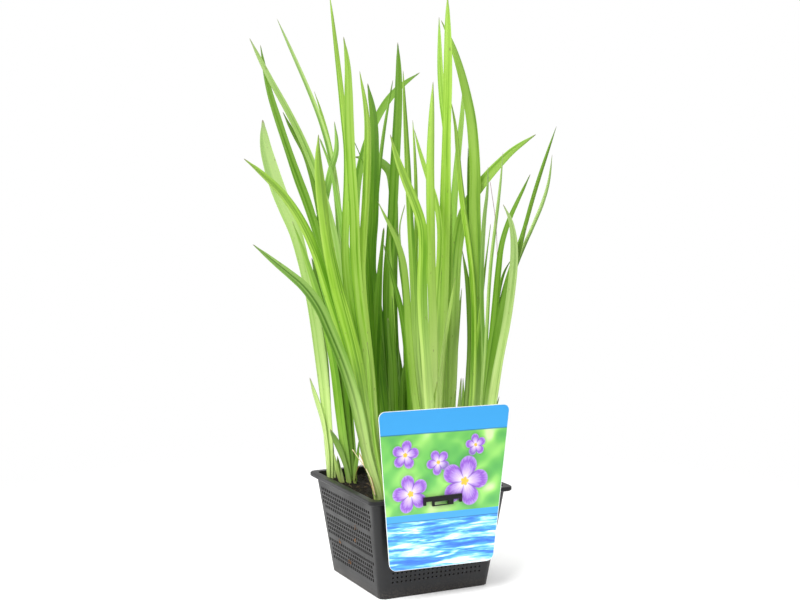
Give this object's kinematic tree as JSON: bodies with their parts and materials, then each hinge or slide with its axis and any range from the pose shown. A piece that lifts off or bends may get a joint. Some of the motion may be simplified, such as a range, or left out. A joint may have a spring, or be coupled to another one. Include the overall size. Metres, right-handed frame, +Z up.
{
  "type": "potted plant",
  "caption": "Pond plant with tall sword leaves rising in fans from a square tapered basket of peat, with a label card clipped to its rim.",
  "frame": {"origin": "middle of the basket's flat underside, on the ground", "axes": "+Z up, -Y out of the wall that carries the label card, +X to the right of someone who reads the card"},
  "size_m": [0.2034, 0.1752, 0.3684],
  "materials": {
    "black_plastic": "injection-moulded, soft sheen",
    "peat": "damp dark peat with root fibres, stands in for soil",
    "card": "printed label card, glossy",
    "leaf_pale": "pale yellow-green leaf, soft sheen",
    "leaf_fresh": "fresh light green leaf, soft sheen",
    "leaf_mid": "mid green leaf, soft sheen",
    "leaf_deep": "deep green leaf, soft sheen",
    "leaf_blue": "blue-green leaf, waxy"
  },
  "bodies": {
    "root": {"pot": "black_plastic", "soil": "peat", "label_card": "card", "label_clip": "black_plastic", "back_left_leaf_1": "leaf_pale", "back_left_leaf_2": "leaf_pale", "back_left_leaf_3": "leaf_pale", "left_sprout_leaf_1": "leaf_deep", "left_leaf_1": "leaf_blue", "left_leaf_2": "leaf_mid", "left_leaf_3": "leaf_deep", "left_leaf_4": "leaf_mid", "front_leaf_1": "leaf_blue", "front_leaf_2": "leaf_mid", "front_leaf_3": "leaf_fresh", "front_leaf_4": "leaf_mid", "front_leaf_5": "leaf_mid", "front_leaf_6": "leaf_fresh", "front_leaf_7": "leaf_pale", "front_inner_leaf_1": "leaf_mid", "front_inner_leaf_2": "leaf_mid", "front_inner_leaf_3": "leaf_blue", "front_inner_leaf_4": "leaf_mid", "front_inner_leaf_5": "leaf_deep", "front_inner_leaf_6": "leaf_deep", "front_inner_leaf_7": "leaf_deep", "back_leaf_1": "leaf_deep", "back_leaf_2": "leaf_deep", "back_leaf_3": "leaf_deep", "back_leaf_4": "leaf_mid", "back_leaf_5": "leaf_deep", "back_leaf_6": "leaf_deep", "middle_leaf_1": "leaf_blue", "middle_leaf_2": "leaf_mid", "middle_leaf_3": "leaf_fresh", "middle_leaf_4": "leaf_fresh", "middle_leaf_5": "leaf_deep", "middle_leaf_6": "leaf_fresh", "middle_leaf_7": "leaf_deep", "right_leaf_1": "leaf_fresh", "right_leaf_2": "leaf_mid", "right_leaf_3": "leaf_fresh", "right_leaf_4": "leaf_mid", "right_leaf_5": "leaf_blue", "right_leaf_6": "leaf_deep", "far_right_leaf_1": "leaf_mid", "far_right_leaf_2": "leaf_fresh", "far_right_leaf_3": "leaf_deep", "far_right_leaf_4": "leaf_deep", "far_right_leaf_5": "leaf_deep", "far_right_leaf_6": "leaf_mid", "right_corner_leaf_1": "leaf_pale", "right_corner_leaf_2": "leaf_fresh", "right_corner_leaf_3": "leaf_deep", "right_corner_leaf_4": "leaf_mid", "right_corner_leaf_5": "leaf_deep", "right_corner_leaf_6": "leaf_deep", "right_corner_leaf_7": "leaf_mid", "right_corner_leaf_8": "leaf_pale"}
  },
  "joints": []
}
